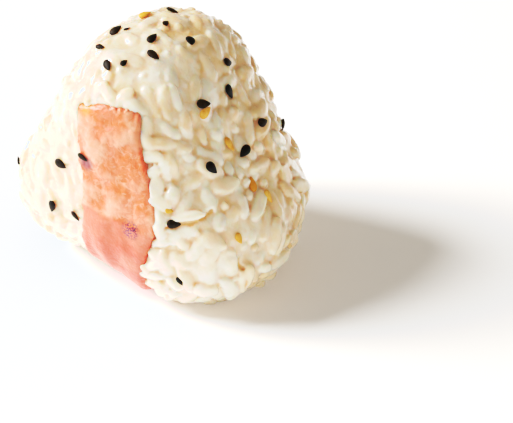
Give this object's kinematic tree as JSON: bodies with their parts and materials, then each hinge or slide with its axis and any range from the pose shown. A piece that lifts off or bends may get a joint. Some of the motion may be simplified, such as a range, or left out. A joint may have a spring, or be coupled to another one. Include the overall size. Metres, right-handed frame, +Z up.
{
  "type": "onigiri rice ball",
  "caption": "Triangular rice ball of pressed short-grain rice with sesame seeds and a pink salmon strip down its front face.",
  "frame": {"origin": "middle of the base, on the surface that the rice ball stands on", "axes": "+Z up, X along the base of the triangle, the face with the salmon strip looks along -Y"},
  "size_m": [0.0698, 0.0522, 0.0612],
  "materials": {
    "rice": "moist cooked rice, glossy and slightly see-through",
    "salmon": "moist salmon flesh, mottled orange and pink",
    "black_sesame": "satin black seed coat",
    "golden_sesame": "satin toasted seed coat"
  },
  "bodies": {
    "root": {"rice_body": "rice", "salmon_strip": "salmon"}
  },
  "joints": []
}
